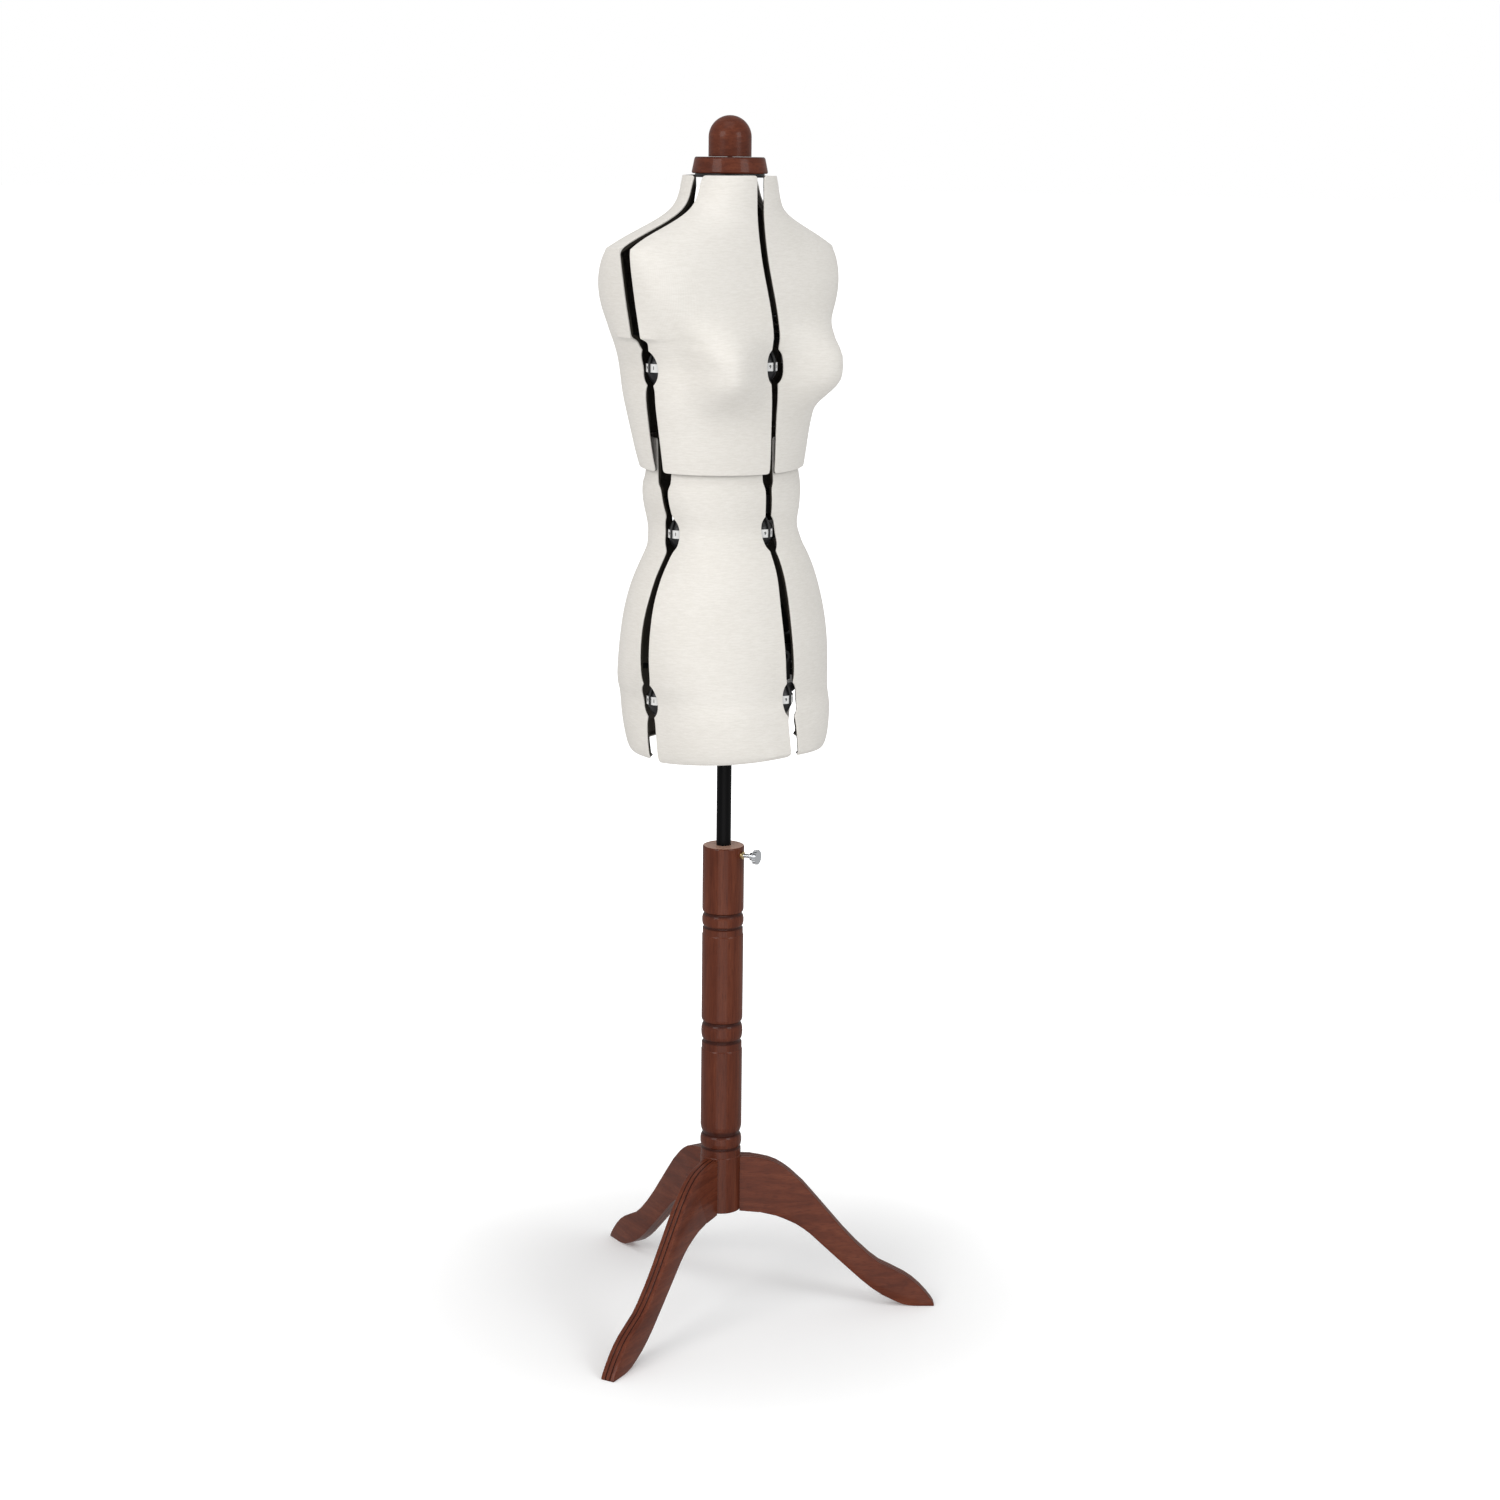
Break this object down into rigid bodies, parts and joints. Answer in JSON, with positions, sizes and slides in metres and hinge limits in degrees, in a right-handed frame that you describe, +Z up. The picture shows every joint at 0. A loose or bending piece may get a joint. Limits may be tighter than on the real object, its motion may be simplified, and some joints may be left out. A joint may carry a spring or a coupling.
{
  "type": "dress form mannequin",
  "caption": "Adjustable dressmaker's torso with fabric-covered panels that spread with gap dials, on a height-adjustable mast in a turned wooden column with splayed legs.",
  "frame": {"origin": "on the floor under the column's axis, midway between the feet", "axes": "+Z up along the mast; the torso faces -Y, its left side is towards +X"},
  "size_m": [0.4885, 0.4885, 1.5492],
  "materials": {
    "column_wood": "semi-gloss red-brown mahogany stain",
    "leg_wood": "semi-gloss red-brown mahogany stain",
    "cap_wood": "semi-gloss red-brown mahogany stain",
    "jersey": "fine off-white jersey laminated over foam",
    "shell_plastic": "moulded, matt",
    "bar_plastic": "moulded, matt",
    "carriage_plastic": "moulded, matt",
    "dial_plastic": "black with a white number band",
    "black_tube": "satin black powder coat",
    "cast_hub": "as cast",
    "screw_chrome": "bright zinc",
    "insert_brass": "turned",
    "steel": "plain"
  },
  "bodies": {
    "stand": {"column": "column_wood", "leg_1": "leg_wood", "leg_2": "leg_wood", "leg_3": "leg_wood", "leg_pins": "steel", "insert_nut": "insert_brass"},
    "clamp_screw": {"thumbscrew": "screw_chrome"},
    "mast": {"mast_tube": "black_tube", "mast_collar": "cast_hub"},
    "lower_core": {"lower_spider": "cast_hub"},
    "upper_core": {"upper_spider": "cast_hub", "neck_plate": "black_tube", "neck_disc": "cap_wood", "neck_knob": "cap_wood", "cap_screw": "steel"},
    "lower_front_slider": {"lower_front_carriage": "carriage_plastic"},
    "lower_left_slider": {"lower_left_carriage": "carriage_plastic"},
    "lower_back_slider": {"lower_back_carriage": "carriage_plastic"},
    "lower_right_slider": {"lower_right_carriage": "carriage_plastic"},
    "upper_front_slider": {"upper_front_carriage": "carriage_plastic"},
    "upper_left_slider": {"upper_left_carriage": "carriage_plastic"},
    "upper_back_slider": {"upper_back_carriage": "carriage_plastic"},
    "upper_right_slider": {"upper_right_carriage": "carriage_plastic"},
    "lower_front_right_panel": {"lower_front_right_cover": "jersey", "lower_front_right_shell": "shell_plastic", "lower_front_right_bars": "bar_plastic"},
    "lower_front_left_panel": {"lower_front_left_cover": "jersey", "lower_front_left_shell": "shell_plastic", "lower_front_left_bars": "bar_plastic"},
    "lower_back_right_panel": {"lower_back_right_cover": "jersey", "lower_back_right_shell": "shell_plastic", "lower_back_right_bars": "bar_plastic"},
    "lower_back_left_panel": {"lower_back_left_cover": "jersey", "lower_back_left_shell": "shell_plastic", "lower_back_left_bars": "bar_plastic"},
    "upper_front_right_panel": {"upper_front_right_cover": "jersey", "upper_front_right_shell": "shell_plastic", "upper_front_right_bars": "bar_plastic"},
    "upper_front_left_panel": {"upper_front_left_cover": "jersey", "upper_front_left_shell": "shell_plastic", "upper_front_left_bars": "bar_plastic"},
    "upper_back_right_panel": {"upper_back_right_cover": "jersey", "upper_back_right_shell": "shell_plastic", "upper_back_right_bars": "bar_plastic"},
    "upper_back_left_panel": {"upper_back_left_cover": "jersey", "upper_back_left_shell": "shell_plastic", "upper_back_left_bars": "bar_plastic"},
    "bust_front_dial_wheel": {"bust_front_dial": "dial_plastic"},
    "bust_left_dial_wheel": {"bust_left_dial": "dial_plastic"},
    "bust_back_dial_wheel": {"bust_back_dial": "dial_plastic"},
    "bust_right_dial_wheel": {"bust_right_dial": "dial_plastic"},
    "waist_front_dial_wheel": {"waist_front_dial": "dial_plastic"},
    "waist_left_dial_wheel": {"waist_left_dial": "dial_plastic"},
    "waist_back_dial_wheel": {"waist_back_dial": "dial_plastic"},
    "waist_right_dial_wheel": {"waist_right_dial": "dial_plastic"},
    "hip_front_dial_wheel": {"hip_front_dial": "dial_plastic"},
    "hip_left_dial_wheel": {"hip_left_dial": "dial_plastic"},
    "hip_back_dial_wheel": {"hip_back_dial": "dial_plastic"},
    "hip_right_dial_wheel": {"hip_right_dial": "dial_plastic"}
  },
  "joints": [
    {"name": "clamp_turn", "type": "hinge", "parent": "stand", "child": "clamp_screw", "pos_m": [0, 0, 0.619], "axis": [0.2756, -0.9613, 0], "range_deg": [0, 720]},
    {"name": "mast_height", "type": "slide", "parent": "stand", "child": "mast", "axis": [0, 0, 1], "range_m": [-0.1, 0.2]},
    {"name": "torso_turn", "type": "hinge", "parent": "mast", "child": "lower_core", "pos_m": [0, 0, 0], "axis": [0, 0, 1], "continuous": true},
    {"name": "waist_length", "type": "slide", "parent": "lower_core", "child": "upper_core", "axis": [0, 0, 1], "range_m": [0, 0.038]},
    {"name": "torso_depth", "type": "slide", "parent": "lower_core", "child": "lower_front_slider", "axis": [0, -1, 0], "range_m": [0, 0.02]},
    {"name": "torso_width", "type": "slide", "parent": "lower_core", "child": "lower_left_slider", "axis": [1, 0, 0], "range_m": [0, 0.02]},
    {"name": "lower_back_slide", "type": "slide", "parent": "lower_core", "child": "lower_back_slider", "axis": [0, 1, 0], "range_m": [0, 0.02]},
    {"name": "lower_right_slide", "type": "slide", "parent": "lower_core", "child": "lower_right_slider", "axis": [-1, 0, 0], "range_m": [0, 0.02]},
    {"name": "upper_front_slide", "type": "slide", "parent": "upper_core", "child": "upper_front_slider", "axis": [0, -1, 0], "range_m": [0, 0.02]},
    {"name": "upper_left_slide", "type": "slide", "parent": "upper_core", "child": "upper_left_slider", "axis": [1, 0, 0], "range_m": [0, 0.02]},
    {"name": "upper_back_slide", "type": "slide", "parent": "upper_core", "child": "upper_back_slider", "axis": [0, 1, 0], "range_m": [0, 0.02]},
    {"name": "upper_right_slide", "type": "slide", "parent": "upper_core", "child": "upper_right_slider", "axis": [-1, 0, 0], "range_m": [0, 0.02]},
    {"name": "lower_front_right_panel_spread", "type": "slide", "parent": "lower_front_slider", "child": "lower_front_right_panel", "axis": [-1, 0, 0], "range_m": [0, 0.02]},
    {"name": "lower_front_left_panel_spread", "type": "slide", "parent": "lower_front_slider", "child": "lower_front_left_panel", "axis": [1, 0, 0], "range_m": [0, 0.02]},
    {"name": "lower_back_right_panel_spread", "type": "slide", "parent": "lower_back_slider", "child": "lower_back_right_panel", "axis": [-1, 0, 0], "range_m": [0, 0.02]},
    {"name": "lower_back_left_panel_spread", "type": "slide", "parent": "lower_back_slider", "child": "lower_back_left_panel", "axis": [1, 0, 0], "range_m": [0, 0.02]},
    {"name": "upper_front_right_panel_spread", "type": "slide", "parent": "upper_front_slider", "child": "upper_front_right_panel", "axis": [-1, 0, 0], "range_m": [0, 0.02]},
    {"name": "upper_front_left_panel_spread", "type": "slide", "parent": "upper_front_slider", "child": "upper_front_left_panel", "axis": [1, 0, 0], "range_m": [0, 0.02]},
    {"name": "upper_back_right_panel_spread", "type": "slide", "parent": "upper_back_slider", "child": "upper_back_right_panel", "axis": [-1, 0, 0], "range_m": [0, 0.02]},
    {"name": "upper_back_left_panel_spread", "type": "slide", "parent": "upper_back_slider", "child": "upper_back_left_panel", "axis": [1, 0, 0], "range_m": [0, 0.02]},
    {"name": "bust_front_dial_turn", "type": "hinge", "parent": "upper_front_slider", "child": "bust_front_dial_wheel", "pos_m": [0, -0.0625, 1.247], "axis": [0, 0, 1], "range_deg": [-191.5, 0]},
    {"name": "bust_left_dial_turn", "type": "hinge", "parent": "upper_left_slider", "child": "bust_left_dial_wheel", "pos_m": [0.1205, 0, 1.247], "axis": [0, 0, 1], "range_deg": [0, 191.5]},
    {"name": "bust_back_dial_turn", "type": "hinge", "parent": "upper_back_slider", "child": "bust_back_dial_wheel", "pos_m": [0, 0.099, 1.247], "axis": [0, 0, 1], "range_deg": [0, 191.5]},
    {"name": "bust_right_dial_turn", "type": "hinge", "parent": "upper_right_slider", "child": "bust_right_dial_wheel", "pos_m": [-0.1205, 0, 1.247], "axis": [0, 0, 1], "range_deg": [-191.5, 0]},
    {"name": "waist_front_dial_turn", "type": "hinge", "parent": "lower_front_slider", "child": "waist_front_dial_wheel", "pos_m": [0, -0.0573, 1.041], "axis": [0, 0, 1], "range_deg": [-191.5, 0]},
    {"name": "waist_left_dial_turn", "type": "hinge", "parent": "lower_left_slider", "child": "waist_left_dial_wheel", "pos_m": [0.0813, 0, 1.041], "axis": [0, 0, 1], "range_deg": [0, 191.5]},
    {"name": "waist_back_dial_turn", "type": "hinge", "parent": "lower_back_slider", "child": "waist_back_dial_wheel", "pos_m": [0, 0.07, 1.041], "axis": [0, 0, 1], "range_deg": [0, 191.5]},
    {"name": "waist_right_dial_turn", "type": "hinge", "parent": "lower_right_slider", "child": "waist_right_dial_wheel", "pos_m": [-0.0813, 0, 1.041], "axis": [0, 0, 1], "range_deg": [-191.5, 0]},
    {"name": "hip_front_dial_turn", "type": "hinge", "parent": "lower_front_slider", "child": "hip_front_dial_wheel", "pos_m": [0, -0.0965, 0.836], "axis": [0, 0, 1], "range_deg": [-191.5, 0]},
    {"name": "hip_left_dial_turn", "type": "hinge", "parent": "lower_left_slider", "child": "hip_left_dial_wheel", "pos_m": [0.1175, 0, 0.836], "axis": [0, 0, 1], "range_deg": [0, 191.5]},
    {"name": "hip_back_dial_turn", "type": "hinge", "parent": "lower_back_slider", "child": "hip_back_dial_wheel", "pos_m": [0, 0.096, 0.836], "axis": [0, 0, 1], "range_deg": [0, 191.5]},
    {"name": "hip_right_dial_turn", "type": "hinge", "parent": "lower_right_slider", "child": "hip_right_dial_wheel", "pos_m": [-0.1175, 0, 0.836], "axis": [0, 0, 1], "range_deg": [-191.5, 0]}
  ],
  "couplings": [
    {"joint": "lower_back_slide", "follows": "torso_depth", "ratio": 1},
    {"joint": "lower_right_slide", "follows": "torso_width", "ratio": 1},
    {"joint": "upper_front_slide", "follows": "torso_depth", "ratio": 1},
    {"joint": "upper_left_slide", "follows": "torso_width", "ratio": 1},
    {"joint": "upper_back_slide", "follows": "torso_depth", "ratio": 1},
    {"joint": "upper_right_slide", "follows": "torso_width", "ratio": 1},
    {"joint": "lower_front_right_panel_spread", "follows": "torso_width", "ratio": 1},
    {"joint": "lower_front_left_panel_spread", "follows": "torso_width", "ratio": 1},
    {"joint": "lower_back_right_panel_spread", "follows": "torso_width", "ratio": 1},
    {"joint": "lower_back_left_panel_spread", "follows": "torso_width", "ratio": 1},
    {"joint": "upper_front_right_panel_spread", "follows": "torso_width", "ratio": 1},
    {"joint": "upper_front_left_panel_spread", "follows": "torso_width", "ratio": 1},
    {"joint": "upper_back_right_panel_spread", "follows": "torso_width", "ratio": 1},
    {"joint": "upper_back_left_panel_spread", "follows": "torso_width", "ratio": 1},
    {"joint": "bust_front_dial_turn", "follows": "torso_width", "rad_per_m": -166.67},
    {"joint": "bust_left_dial_turn", "follows": "torso_depth", "rad_per_m": 166.67},
    {"joint": "bust_back_dial_turn", "follows": "torso_width", "rad_per_m": 166.67},
    {"joint": "bust_right_dial_turn", "follows": "torso_depth", "rad_per_m": -166.67},
    {"joint": "waist_front_dial_turn", "follows": "torso_width", "rad_per_m": -166.67},
    {"joint": "waist_left_dial_turn", "follows": "torso_depth", "rad_per_m": 166.67},
    {"joint": "waist_back_dial_turn", "follows": "torso_width", "rad_per_m": 166.67},
    {"joint": "waist_right_dial_turn", "follows": "torso_depth", "rad_per_m": -166.67},
    {"joint": "hip_front_dial_turn", "follows": "torso_width", "rad_per_m": -166.67},
    {"joint": "hip_left_dial_turn", "follows": "torso_depth", "rad_per_m": 166.67},
    {"joint": "hip_back_dial_turn", "follows": "torso_width", "rad_per_m": 166.67},
    {"joint": "hip_right_dial_turn", "follows": "torso_depth", "rad_per_m": -166.67}
  ]
}
